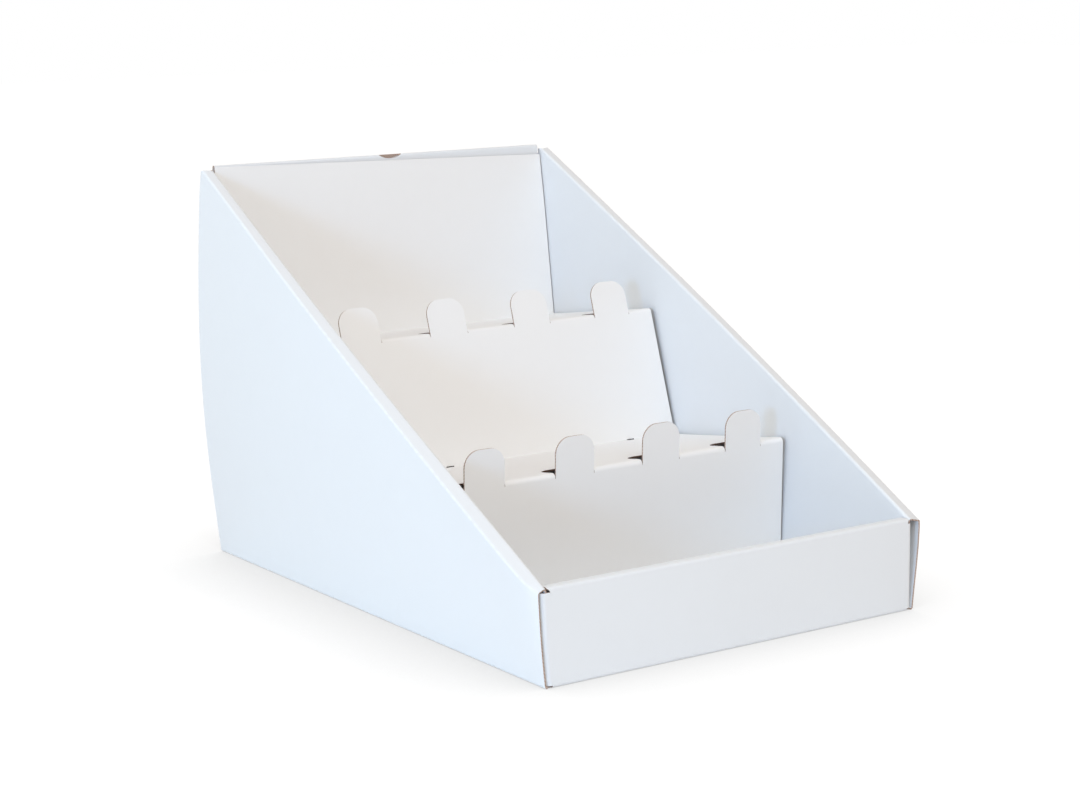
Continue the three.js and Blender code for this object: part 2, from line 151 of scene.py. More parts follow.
class BoxSizes(bpy.types.PropertyGroup):
    """Sizes a user would change"""

    board: bpy.props.FloatProperty(
        name="Board", description="Thickness of the board", default=0.001, min=0.0004,
        unit="LENGTH", precision=4)
    width: bpy.props.FloatProperty(
        name="Base width", description="Width of the tray's base", default=0.25, unit="LENGTH")
    depth: bpy.props.FloatProperty(
        name="Depth", description="Depth of the tray, front to back",
        default=TRAY_HIGH.y - TRAY_LOW.y, unit="LENGTH")
    back_height: bpy.props.FloatProperty(
        name="Back height", description="Height of the rear wall", default=TRAY_HIGH.z,
        unit="LENGTH")
    lip_height: bpy.props.FloatProperty(
        name="Lip height", description="Height of the front lip", default=0.0528, unit="LENGTH")
    tab_width: bpy.props.FloatProperty(
        name="Tab width", description="Width of a divider tab", default=0.026, unit="LENGTH")
    tab_height: bpy.props.FloatProperty(
        name="Tab height", description="Height of a divider tab over its crease",
        default=0.0204, unit="LENGTH")
    tab_corner: bpy.props.FloatProperty(
        name="Tab corner", description="Corner radius of a divider tab", default=0.0095,
        unit="LENGTH")
    tab_pitch: bpy.props.FloatProperty(
        name="Tab pitch", description="Distance from one tab to the next", default=0.06,
        unit="LENGTH")


class BoxColours(bpy.types.PropertyGroup):
    """Colours a user would change"""

    tray: bpy.props.FloatVectorProperty(
        name="Tray lining", description="White lining of the tray", subtype="COLOR", size=4,
        default=(0.798, 0.820, 0.846, 1.0), min=0.0, max=1.0)
    insert: bpy.props.FloatVectorProperty(
        name="Insert lining", description="White lining of the insert", subtype="COLOR", size=4,
        default=(0.868, 0.862, 0.858, 1.0), min=0.0, max=1.0)
    kraft: bpy.props.FloatVectorProperty(
        name="Cut edge", description="Brown fluting that shows at a cut edge",
        subtype="COLOR", size=4,
        default=(0.47, 0.35, 0.285, 1.0), min=0.0, max=1.0)
    floor: bpy.props.FloatVectorProperty(
        name="Floor", description="Pale floor", subtype="COLOR", size=4,
        default=(0.88, 0.88, 0.88, 1.0), min=0.0, max=1.0)


def sizes():
    """The sizes in millimetres, with the lines of the folds worked out from them."""
    given = bpy.context.scene.display_box_sizes
    s = {key: getattr(given, key) / MM for key in BoxSizes.__annotations__}
    s["half"] = s["board"] / 2
    s["half_width"] = s["width"] / 2
    s["half_depth"] = s["depth"] / 2
    s["ply_foot"] = s["half_width"] - s["board"] - SIDE_HOLLOW - s["half"]
    s["flap_line"] = s["half_width"] - s["board"] - SIDE_HOLLOW / 2
    s["crease_end"] = s["flap_line"] - CORNER_CREASE
    s["lip_ply"] = -s["half_depth"] + s["board"] + LIP_HOLLOW + s["half"]
    s["back_ply"] = s["half_depth"] - s["board"] - BACK_HOLLOW - s["half"]
    s["insert_half"] = s["ply_foot"] - s["half"] - INSERT_CLEARANCE
    s["foot"] = s["board"] + REST_GAP
    return s


def mix(a, b, share):
    return a + (b - a) * share


def spread(first, last, count):
    return [mix(first, last, i / count) for i in range(count + 1)]


def deselect():
    """Leaves edit mode and selects nothing."""
    if bpy.context.object and bpy.context.object.mode != "OBJECT":
        bpy.ops.object.mode_set(mode="OBJECT")
    bpy.ops.object.select_all(action="DESELECT")


def only(piece):
    """Makes one object the selected and active one."""
    deselect()
    piece.select_set(True)
    bpy.context.view_layer.objects.active = piece


def folded(corners, steps=5, hold=0.7):
    """The middle line of a folded strip. A corner is (u, v) or (u, v, radius of its crease)."""
    line = [tuple(corners[0][:2])]
    for i in range(1, len(corners) - 1):
        here = Vector(corners[i][:2])
        into = (here - Vector(corners[i - 1][:2])).normalized()
        out = (Vector(corners[i + 1][:2]) - here).normalized()
        radius = corners[i][2] if len(corners[i]) > 2 else 0
        if not radius:
            line.append(tuple(here))
            continue
        turn = math.atan2(into.x * out.y - into.y * out.x, into.dot(out))
        reach = radius * math.tan(abs(turn) / 2)
        start = here - into * reach
        side = math.copysign(1, turn)
        centre = start + Vector((-into.y, into.x)) * side * radius
        arm = start - centre
        line.append(tuple(start - into * hold))
        for step in range(steps + 1):
            angle = turn * step / steps
            line.append((
                centre.x + arm.x * math.cos(angle) - arm.y * math.sin(angle),
                centre.y + arm.x * math.sin(angle) + arm.y * math.cos(angle)))
        line.append(tuple(here + out * (reach + hold)))
    line.append(tuple(corners[-1][:2]))
    return line


def fold_sheet(name, rows, worn=None):
    """Folds one sheet: a narrow strip is added, then its far edge is drawn out from fold to fold.
    rows[k][s] is the place of station s on row k, and worn(k, place) how worn a crease is there."""
    count = len(rows[0]) - 1
    deselect()
    bpy.ops.mesh.primitive_grid_add(x_subdivisions=count, y_subdivisions=1, size=1.0)
    piece = bpy.context.object
    piece.name = piece.data.name = name
    bpy.ops.object.mode_set(mode="EDIT")
    bpy.ops.mesh.select_mode(type="EDGE")
    mesh = bmesh.from_edit_mesh(piece.data)
    if len(mesh.verts) != 2 * (count + 1):
        raise RuntimeError(f"{name}: the first strip has {len(mesh.verts)} corners")
    row = mesh.verts.layers.int.new("row")
    station = mesh.verts.layers.int.new("station")
    for v in mesh.verts:
        v[row] = 0 if v.co.y < 0 else 1
        v[station] = round((v.co.x + 0.5) * count)
    for v in mesh.verts:
        v.co = Vector(rows[v[row]][v[station]]) * MM
    for k in range(2, len(rows)):
        mesh = bmesh.from_edit_mesh(piece.data)
        row = mesh.verts.layers.int["row"]
        for e in mesh.edges:
            e.select_set(e.verts[0][row] == k - 1 and e.verts[1][row] == k - 1)
        mesh.select_flush_mode()
        bmesh.update_edit_mesh(piece.data)
        bpy.ops.mesh.extrude_edges_move()
        mesh = bmesh.from_edit_mesh(piece.data)
        row = mesh.verts.layers.int["row"]
        station = mesh.verts.layers.int["station"]
        for v in mesh.verts:
            if v.select:
                v[row] = k
                v.co = Vector(rows[k][v[station]]) * MM
    mark_sheet(piece, rows, worn)
    bpy.ops.object.mode_set(mode="OBJECT")
    return piece


def mark_sheet(piece, rows, worn):
    """Writes the wear of each corner of the sheet and its place on the flat board."""
    mesh = bmesh.from_edit_mesh(piece.data)
    crease = mesh.verts.layers.float.new("crease")
    uv = mesh.loops.layers.uv.new("board")
    row = mesh.verts.layers.int["row"]
    station = mesh.verts.layers.int["station"]
    middle = len(rows[0]) // 2
    along, across = [0.0], [0.0]
    for k in range(1, len(rows)):
        stretch = Vector(rows[k][middle]) - Vector(rows[k - 1][middle])
        along.append(along[-1] + stretch.length * MM)
    for s in range(1, len(rows[0])):
        stretch = Vector(rows[0][s]) - Vector(rows[0][s - 1])
        across.append(across[-1] + stretch.length * MM)
    for v in mesh.verts:
        v[crease] = worn(v[row], rows[v[row]][v[station]]) if worn else 0.0
    for face in mesh.faces:
        for loop in face.loops:
            loop[uv].uv = (across[loop.vert[station]], along[loop.vert[row]])
    mesh.verts.layers.int.remove(mesh.verts.layers.int["row"])
    mesh.verts.layers.int.remove(mesh.verts.layers.int["station"])
    bmesh.update_edit_mesh(piece.data)


def modifier(piece, kind, **settings):
    """Adds a modifier with these settings and applies it."""
    only(piece)
    bpy.ops.object.modifier_add(type=kind)
    added = piece.modifiers[-1]
    for key, value in settings.items():
        setattr(added, key, value)
    bpy.ops.object.modifier_apply(modifier=added.name)


def outwards(piece):
    """Turns all faces of a closed shell outwards."""
    only(piece)
    bpy.ops.object.mode_set(mode="EDIT")
    bpy.ops.mesh.select_all(action="SELECT")
    bpy.ops.mesh.normals_make_consistent(inside=False)
    bpy.ops.object.mode_set(mode="OBJECT")


def thicken(piece, board, face, edge):
    """Gives a folded sheet the thickness of the board, with its own finish on the cut edges."""
    piece.data.materials.clear()
    piece.data.materials.append(face)
    piece.data.materials.append(edge)
    modifier(
        piece, "SOLIDIFY", thickness=board * MM, offset=0.0, use_even_offset=True,
        use_rim=True, material_offset_rim=1)
    outwards(piece)


def cut(piece, cutter):
    """Cuts a shape out of the board and throws the cutter away."""
    modifier(
        piece, "BOOLEAN", operation="DIFFERENCE", solver="EXACT", object=cutter,
        material_mode="TRANSFER")
    bpy.data.objects.remove(cutter)


def join(pieces, name):
    """Joins finished panels into one piece."""
    only(pieces[0])
    for piece in pieces:
        piece.select_set(True)
    if len(pieces) > 1:
        bpy.ops.object.join()
    joined = bpy.context.object
    joined.name = joined.data.name = name
    return joined


def smooth(piece):
    """Rounds the shading over the creases and leaves the cut edges sharp."""
    only(piece)
    bpy.ops.object.shade_smooth_by_angle(angle=math.radians(38))
    modifier(piece, "WEIGHTED_NORMAL", mode="FACE_AREA", weight=60, keep_sharp=True)


def block(name, low, high, finish):
    """A block between two corners, in millimetres."""
    deselect()
    middle = [(a + b) / 2 * MM for a, b in zip(low, high)]
    size = [(b - a) * MM for a, b in zip(low, high)]
    bpy.ops.mesh.primitive_cube_add(size=1.0, location=middle, scale=size)
    made = bpy.context.object
    made.name = made.data.name = name
    bpy.ops.object.transform_apply(location=True, rotation=True, scale=True)
    made.data.materials.append(finish)
    return made


def finish_piece(piece, node):
    """Shades a piece, lets it ride with the box and stands it in for its solid."""
    smooth(piece)
    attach(piece, "root")
    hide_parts(node)
    return piece


def socket(tree, name, kind, way, default=None):
    made = tree.interface.new_socket(name=name, in_out=way, socket_type=kind)
    if default is not None:
        made.default_value = default
    return made


def node(tree, kind, **settings):
    made = tree.nodes.new(kind)
    for key, value in settings.items():
        setattr(made, key, value)
    return made


def math_node(tree, operation, first, second=None, third=None, clamp=False):
    """One Math node, fed by numbers or by outputs of other nodes."""
    made = node(tree, "ShaderNodeMath", operation=operation, use_clamp=clamp)
    for i, value in enumerate((first, second, third)):
        if value is None:
            continue
        if isinstance(value, (int, float)):
            made.inputs[i].default_value = value
        else:
            tree.links.new(value, made.inputs[i])
    return made.outputs[0]


def noise(tree, vector, scale, detail=2.0, roughness=0.5):
    made = node(tree, "ShaderNodeTexNoise")
    made.inputs["Scale"].default_value = scale
    made.inputs["Detail"].default_value = detail
    made.inputs["Roughness"].default_value = roughness
    tree.links.new(vector, made.inputs["Vector"])
    return made.outputs["Fac"]


def lining_group():
    """Paper lining: fibre, faint cloudiness and the ripple of the fluting below it."""
    if "Paper lining" in bpy.data.node_groups:
        return bpy.data.node_groups["Paper lining"]
    tree = bpy.data.node_groups.new("Paper lining", "ShaderNodeTree")
    socket(tree, "Place", "NodeSocketVector", "INPUT")
    socket(tree, "Sheet", "NodeSocketVector", "INPUT")
    socket(tree, "Flute pitch", "NodeSocketFloat", "INPUT", FLUTE_PITCH)
    socket(tree, "Cloud", "NodeSocketFloat", "OUTPUT")
    socket(tree, "Height", "NodeSocketFloat", "OUTPUT")
    socket(tree, "Roughness", "NodeSocketFloat", "OUTPUT")
    start = node(tree, "NodeGroupInput")
    end = node(tree, "NodeGroupOutput")
    place = start.outputs["Place"]
    cloud_low = noise(tree, place, 9.0, 3.0, 0.55)
    cloud_fine = noise(tree, place, 140.0, 3.0, 0.6)
    cloud = math_node(tree, "MULTIPLY", cloud_fine, 0.3)
    cloud = math_node(tree, "MULTIPLY_ADD", cloud_low, 0.7, cloud)
    tree.links.new(cloud, end.inputs["Cloud"])
    fibre = noise(tree, place, 2600.0, 4.0, 0.65)
    pulp = noise(tree, place, 420.0, 3.0, 0.5)
    across = node(tree, "ShaderNodeSeparateXYZ")
    tree.links.new(start.outputs["Sheet"], across.inputs[0])
    turns = math_node(tree, "DIVIDE", across.outputs["X"], start.outputs["Flute pitch"])
    ripple = math_node(tree, "SINE", math_node(tree, "MULTIPLY", turns, 2 * math.pi))
    height = math_node(tree, "MULTIPLY_ADD", fibre, 0.45, math_node(tree, "MULTIPLY", pulp, 0.9))
    height = math_node(tree, "MULTIPLY_ADD", ripple, 0.16, height)
    tree.links.new(height, end.inputs["Height"])
    rough = math_node(tree, "MULTIPLY_ADD", cloud_fine, 0.16, 0.50)
    tree.links.new(rough, end.inputs["Roughness"])
    return tree


def crease_group():
    """Wear along a crease: the lining cracks in short dashes where the board was scored."""
    if "Crease wear" in bpy.data.node_groups:
        return bpy.data.node_groups["Crease wear"]
    tree = bpy.data.node_groups.new("Crease wear", "ShaderNodeTree")
    socket(tree, "Place", "NodeSocketVector", "INPUT")
    socket(tree, "Sheet", "NodeSocketVector", "INPUT")
    socket(tree, "Crease", "NodeSocketFloat", "INPUT", 0.0)
    socket(tree, "Dash pitch", "NodeSocketFloat", "INPUT", 0.0052)
    socket(tree, "Wear", "NodeSocketFloat", "OUTPUT")
    socket(tree, "Height", "NodeSocketFloat", "OUTPUT")
    start = node(tree, "NodeGroupInput")
    end = node(tree, "NodeGroupOutput")
    patch = noise(tree, start.outputs["Place"], 60.0, 3.0, 0.6)
    grain = noise(tree, start.outputs["Place"], 900.0, 3.0, 0.6)
    across = node(tree, "ShaderNodeSeparateXYZ")
    tree.links.new(start.outputs["Sheet"], across.inputs[0])
    turns = math_node(tree, "DIVIDE", across.outputs["X"], start.outputs["Dash pitch"])
    wave = math_node(tree, "SINE", math_node(tree, "MULTIPLY", turns, 2 * math.pi))
    dash = math_node(tree, "MULTIPLY_ADD", wave, 1.6, 0.35, clamp=True)
    worn = math_node(tree, "MULTIPLY", start.outputs["Crease"], dash)
    patchy = math_node(tree, "MULTIPLY_ADD", patch, 2.6, -0.75, clamp=True)
    broken = math_node(tree, "MULTIPLY", worn, patchy)
    grainy = math_node(tree, "MULTIPLY_ADD", grain, 1.4, 0.1, clamp=True)
    speck = math_node(tree, "MULTIPLY", broken, grainy)
    tree.links.new(speck, end.inputs["Wear"])
    low = math_node(tree, "MULTIPLY", broken, -1.0)
    tree.links.new(low, end.inputs["Height"])
    return tree


def board_material(name, colour, shade, under):
    """White lined board: the lining's tint and grain, with the wear of its creases."""
    made = bpy.data.materials.new(name)
    made.use_nodes = True
    tree = made.node_tree
    shader = tree.nodes["Principled BSDF"]
    shader.inputs["IOR"].default_value = 1.45
    shader.inputs["Specular IOR Level"].default_value = 0.35
    place = node(tree, "ShaderNodeTexCoord").outputs["Object"]
    sheet = node(tree, "ShaderNodeUVMap", uv_map="board").outputs["UV"]
    lining = node(tree, "ShaderNodeGroup", node_tree=lining_group())
    tree.links.new(place, lining.inputs["Place"])
    tree.links.new(sheet, lining.inputs["Sheet"])
    wear = node(tree, "ShaderNodeGroup", node_tree=crease_group())
    tree.links.new(place, wear.inputs["Place"])
    tree.links.new(sheet, wear.inputs["Sheet"])
    crease = node(tree, "ShaderNodeAttribute", attribute_name="crease")
    tree.links.new(crease.outputs["Fac"], wear.inputs["Crease"])
    tint = node(tree, "ShaderNodeMix", data_type="RGBA")
    tint.inputs["A"].default_value = colour
    tint.inputs["B"].default_value = shade
    tree.links.new(lining.outputs["Cloud"], tint.inputs["Factor"])
    worn = node(tree, "ShaderNodeMix", data_type="RGBA")
    worn.inputs["B"].default_value = under
    tree.links.new(tint.outputs["Result"], worn.inputs["A"])
    tree.links.new(wear.outputs["Wear"], worn.inputs["Factor"])
    tree.links.new(worn.outputs["Result"], shader.inputs["Base Color"])
    tree.links.new(lining.outputs["Roughness"], shader.inputs["Roughness"])
    height = math_node(tree, "MULTIPLY_ADD", wear.outputs["Height"], 0.5, lining.outputs["Height"])
    bump = node(tree, "ShaderNodeBump")
    bump.inputs["Strength"].default_value = 0.35
    bump.inputs["Distance"].default_value = RELIEF
    tree.links.new(height, bump.inputs["Height"])
    tree.links.new(bump.outputs["Normal"], shader.inputs["Normal"])
    return made


def edge_material(name, colour):
    """Cut edge: two thin papers with the brown fluting between them."""
    made = bpy.data.materials.new(name)
    made.use_nodes = True
    tree = made.node_tree
    shader = tree.nodes["Principled BSDF"]
    shader.inputs["Roughness"].default_value = 0.92
    shader.inputs["Specular IOR Level"].default_value = 0.15
    place = node(tree, "ShaderNodeTexCoord").outputs["Object"]
    parts = node(tree, "ShaderNodeSeparateXYZ")
    tree.links.new(place, parts.inputs[0])
    rise = math_node(tree, "ADD", parts.outputs["Y"], parts.outputs["Z"])
    run = math_node(tree, "ADD", parts.outputs["X"], rise)
    flute = math_node(tree, "SINE", math_node(tree, "MULTIPLY", run, 2 * math.pi / FLUTE_PITCH))
    ragged = noise(tree, place, 1500.0, 3.0, 0.6)
    fac = math_node(tree, "MULTIPLY_ADD", flute, 0.28, ragged, clamp=True)
    ramp = node(tree, "ShaderNodeMix", data_type="RGBA")
    ramp.inputs["A"].default_value = (colour[0] * 0.55, colour[1] * 0.5, colour[2] * 0.48, 1.0)
    ramp.inputs["B"].default_value = (
        min(1.0, colour[0] * 1.35), min(1.0, colour[1] * 1.42), min(1.0, colour[2] * 1.5), 1.0)
    tree.links.new(fac, ramp.inputs["Factor"])
    tree.links.new(ramp.outputs["Result"], shader.inputs["Base Color"])
    bump = node(tree, "ShaderNodeBump")
    bump.inputs["Strength"].default_value = 0.6
    bump.inputs["Distance"].default_value = EDGE_RELIEF
    tree.links.new(fac, bump.inputs["Height"])
    tree.links.new(bump.outputs["Normal"], shader.inputs["Normal"])
    return made


def finishes():
    """The board's finishes, made once."""
    colours = bpy.context.scene.display_box_colours
    kraft = tuple(colours.kraft)
    if "cut_edge" not in bpy.data.materials:
        edge_material("cut_edge", kraft)
        # The edges of the tab holes and of the slits get a far darker brown than the other cut
        # edges: painted shade standing in for the shade inside the holes.
        edge_material("hole_edge_painted_shade", (kraft[0] * 0.30, kraft[1] * 0.24, kraft[2] * 0.22, 1.0))
        linings = {"tray_lining": tuple(colours.tray), "insert_lining": tuple(colours.insert)}
        for name, colour in linings.items():
            shade = (*(colour[i] * (0.965, 0.963, 0.962)[i] for i in range(3)), 1.0)
            under = (*(mix(colour[i], kraft[i], (0.30, 0.27, 0.24)[i]) for i in range(3)), 1.0)
            board_material(name, colour, shade, under)
    names = ("tray_lining", "insert_lining", "cut_edge", "hole_edge_painted_shade")
    return {name: bpy.data.materials[name] for name in names}


def slope_height(s, y):
    """Height of the sloping top of the side walls."""
    fall = s["back_height"] - s["lip_height"]
    return s["back_height"] - fall * (s["half_depth"] - y) / s["depth"]


def wall_profile(s, wall, y):
    """Middle line of a side wall at one place: foot, bowed outer ply, ridge and inner ply."""
    front = (s["half_depth"] - y) / s["depth"]
    half = s["half"]
    edge = s["half_width"] - half
    lean = mix(WALL_LEAN_REAR, wall["lean"], front) + wall["swell"] * math.sin(math.pi * front)
    pinch = wall["pinch"] * math.exp(-(y + s["half_depth"]) / PINCH_REACH)
    bow = mix(*WALL_BOW, front)
    ripple = WALL_RIPPLE * (math.sin(y / 23 + wall["side"]) - 1)
    top = slope_height(s, y)
    drop = mix(*RIDGE_DROP, front)
    outer = (edge + lean - pinch + ripple, top - half - drop)
    inner = (edge + lean - mix(RIDGE_WIDTH_REAR, wall["ridge"], front), top - half)

    def bulge(share):
        wave = WALL_WAVE * math.sin(y / 47 + 2.1 * wall["side"]) * math.sin(2 * math.pi * share)
        return (lean - pinch) * share + bow * math.sin(math.pi * share) + wave

    corners = [(s["half_width"] - BASE_STRIP, half), (edge, half, CREASE)]
    for step in range(1, 15):
        share = step / 15
        corners.append((edge + bulge(share), mix(half, outer[1], share)))
    corners += [(*outer, CREASE), (*inner, CREASE)]
    for share in (0.12, 0.3, 0.5, 0.7, 0.88, 1.0):
        sag = -INNER_PLY_SAG * math.sin(math.pi * share)
        corners.append((mix(inner[0], s["ply_foot"], share) + sag, mix(inner[1], s["foot"], share)))
    return folded(corners, steps=5, hold=0.5)


def wall_row_ends(s, k, count, z, top):
    """Front and rear end of one row of a side wall, with the rounded corner at the top rear."""
    first_outer, last_inner = WALL_FOOT_ROWS, count - WALL_INNER_ROWS
    if k < 2:
        reach = s["half_depth"] - OUTER_SETBACK - BASE_STRIP_MITRE
        return -reach, reach
    if k >= last_inner:
        reach = s["half_depth"] - INNER_SETBACK
        return -reach, reach
    rear = s["half_depth"] - OUTER_SETBACK
    over = z - (top - WALL_CORNER)
    if k >= first_outer and over > 0:
        rear -= WALL_CORNER - math.sqrt(max(0.0, WALL_CORNER**2 - min(over, WALL_CORNER)**2))
    return -(s["half_depth"] - OUTER_SETBACK), rear


def side_wall(s, wall, look):
    """One side wall, folded from the base strip up, over the ridge and down to the base again."""
    profile = lru_cache(maxsize=None)(lambda y: wall_profile(s, wall, y))
    rear_line = profile(s["half_depth"])
    count = len(rear_line)
    top = max(v for _, v in rear_line)
    near_front = (0.0, 0.004, 0.01, 0.018, 0.028, 0.04, 0.06)
    near_rear = (0.972, 0.985, 0.993, 0.997, 1.0)
    shares = sorted({*near_front, *spread(0.08, 0.96, 26), *near_rear})
    rows = []
    for k in range(count):
        front, rear = wall_row_ends(s, k, count, rear_line[k][1], top)
        row = []
        for share in shares:
            y = mix(front, rear, share)
            x, z = profile(y)[k]
            row.append((wall["side"] * x, y, z))
        rows.append(row)
    ridge_rows = range(WALL_OUTER_ROWS, count)
    outer_crease = next(k for k in ridge_rows if rear_line[k][1] > top - WEAR_BAND)
    fade_start, fade_length, least = WEAR_FADE

    def worn(k, place):
        if not outer_crease + 1 <= k <= outer_crease + 4:
            return 0.0
        faded = max(0.0, place[1] - fade_start) / fade_length
        return WEAR_STRENGTH * max(least, 1.0 - faded)

    name = "right_wall" if wall["side"] > 0 else "left_wall"
    piece = fold_sheet(name, rows, worn)
    thicken(piece, s["board"], look["tray_lining"], look["cut_edge"])
    faces = sorted(wall["side"] * (s["ply_foot"] + part * s["half"]) for part in (-1, 1))
    locks = []
    for end in (-1, 1):
        middle = end * SIDE_LOCK_SPREAD / 2
        low = (faces[0], middle - SIDE_LOCK_WIDTH / 2)
        high = (faces[1], middle + SIDE_LOCK_WIDTH / 2)
        locks.append(lock(s, piece, low, high, look))
    return join([piece, *locks], name)


def lock(s, piece, low, high, look):
    """Cuts the slot for a locking tab and returns the tab that stands in it."""
    gap = LOCK_CLEARANCE
    slot = block(
        "slot", (low[0] - gap, low[1] - gap, -s["board"]),
        (high[0] + gap, high[1] + gap, s["board"] + REST_GAP / 2), look["cut_edge"])
    cut(piece, slot)
    tab = block("lock", (*low, 0.0), (*high, s["foot"]), look["cut_edge"])
    only(tab)
    bpy.ops.object.mode_set(mode="EDIT")
    bpy.ops.mesh.select_all(action="SELECT")
    bpy.ops.mesh.bevel(offset=0.15 * MM, segments=1, affect="EDGES")
    bpy.ops.object.mode_set(mode="OBJECT")
    return tab


def roll_over_rows(s, outer, inner, height, ridge_crease, reach_at):
    """Rows of the front lip or the rear wall, and how far each row reaches to its ends."""
    inwards = math.copysign(1, inner - outer)
    top = height - s["half"]
    corners = [(outer + inwards * (BASE_STRIP - s["half"]), s["half"]), (outer, s["half"], CREASE)]
    corners += [(outer, z) for z in spread(6, top - 4, 8)]
    corners += [(outer, top, ridge_crease), (inner, top, ridge_crease)]
    corners += [(inner, z) for z in spread(top - 4, s["foot"], 8)]
    hold = 0.1 * abs(inner - outer) / 2
    line = folded(corners, steps=6, hold=hold)
    rows = []
    for k, (y, z) in enumerate(line):
        reach = reach_at(k, z)
        bend = inwards * PLY_BEND * abs(math.sin(z / 9))
        rows.append([
            (x, y + bend * math.cos(math.pi * x / (2 * max(reach))), z)
            for x in end_dense(*reach)])
    return rows


def end_dense(left, right):
    """Stations across the box, closer together at its two ends."""
    near = (1.0, 0.992, 0.98, 0.96)
    shares = [-share for share in near] + spread(-0.92, 0.92, 22) + list(near[::-1])
    return [share * (right if share > 0 else left) for share in shares]


def corner_flap(s, side, wall_line, inwards, flap, top_at_wall, top_at_end, name, look):
    """Flap that turns the corner from the lip or rear wall into the hollow of the side wall."""
    lean_wall, lean_end, bulge = flap[side]
    length = flap["length"]
    levels = spread(0.0, 1.0, 10)
    columns = []
    for level in levels:
        near = s["flap_line"] + lean_wall * level + bulge * math.sin(math.pi * level)
        halfway = s["flap_line"] + mix(lean_wall, lean_end, 0.5) * level
        line = folded([
            (s["crease_end"], wall_line),
            (near, wall_line, FLAP_CREASE),
            (halfway, wall_line + inwards * length / 2),
            (s["flap_line"] + lean_end * level, wall_line + inwards * length),
        ], steps=7, hold=0.3)
        columns.append(line)
    rows = []
    for k in range(len(columns[0])):
        row = []
        for level, line in zip(levels, columns):
            x, y = line[k]
            far = min(1.0, abs(y - wall_line) / length)
            top = mix(top_at_wall, top_at_end, far)
            z = mix(s["foot"], top, level)
            y = wall_line + (y - wall_line) * (1 - FLAP_TAPER * level * far)
            row.append((side * x, y, z))
        rows.append(row)
    piece = fold_sheet(name, rows)
    thicken(piece, s["board"], look["tray_lining"], look["cut_edge"])
    return piece


class DISPLAYBOX_OT_base(bpy.types.Operator):
    """Base of the tray, inside the strips that its walls are folded from"""

    bl_idname = "display_box.base"
    bl_label = "Tray base"

    def execute(self, context):
        s, look = sizes(), finishes()
        x = s["half_width"] - BASE_STRIP
        y = s["half_depth"] - BASE_STRIP
        rows = [[(u, v, s["half"]) for u in spread(-x, x, 12)] for v in spread(-y, y, 16)]
        piece = fold_sheet("tray_base", rows)
        thicken(piece, s["board"], look["tray_lining"], look["cut_edge"])
        finish_piece(piece, TRAY)
        return {"FINISHED"}


class DISPLAYBOX_OT_side_walls(bpy.types.Operator):
    """Two bowed side walls, each of two plies with a narrow ridge on top"""

    bl_idname = "display_box.side_walls"
    bl_label = "Side walls"

    def execute(self, context):
        s, look = sizes(), finishes()
        for wall in (LEFT_WALL, RIGHT_WALL):
            finish_piece(side_wall(s, wall, look), TRAY)
        return {"FINISHED"}


class DISPLAYBOX_OT_front_lip(bpy.types.Operator):
    """Low front lip, rolled over to the inside, with its two corner flaps"""

    bl_idname = "display_box.front_lip"
    bl_label = "Front lip"

    def execute(self, context):
        s, look = sizes(), finishes()
        outer = -s["half_depth"] + s["half"]
        top_of_flap = s["lip_height"] - FRONT_FLAP["drop"]

        def end(k, z, wall):
            if k < 1:
                return s["half_width"] - BASE_STRIP
            at_ridge = s["half_width"] - s["board"] + wall["lean"] - wall["ridge"] - LIP_END_GAP
            at_foot = s["ply_foot"] - s["half"] - LIP_END_GAP
            if k > LIP_OUTER_ROWS:
                return mix(at_foot, at_ridge, z / s["lip_height"])
            rise = (z - top_of_flap) / (s["lip_height"] - s["half"] - top_of_flap)
            return mix(s["crease_end"], at_ridge, min(1.0, max(0.0, rise)))

        def reach(k, z):
            return end(k, z, LEFT_WALL), end(k, z, RIGHT_WALL)

        rows = roll_over_rows(s, outer, s["lip_ply"], s["lip_height"], CREASE, reach)
        piece = fold_sheet("front_lip", rows)
        thicken(piece, s["board"], look["tray_lining"], look["cut_edge"])
        low = (-LOCK_WIDTH / 2, s["lip_ply"] - s["half"])
        high = (LOCK_WIDTH / 2, s["lip_ply"] + s["half"])
        parts = [piece, lock(s, piece, low, high, look)]
        for side in (-1, 1):
            parts.append(corner_flap(
                s, side, outer, 1, FRONT_FLAP, top_of_flap, top_of_flap, "front_flap", look))
        finish_piece(join(parts, "front_lip"), TRAY)
        return {"FINISHED"}


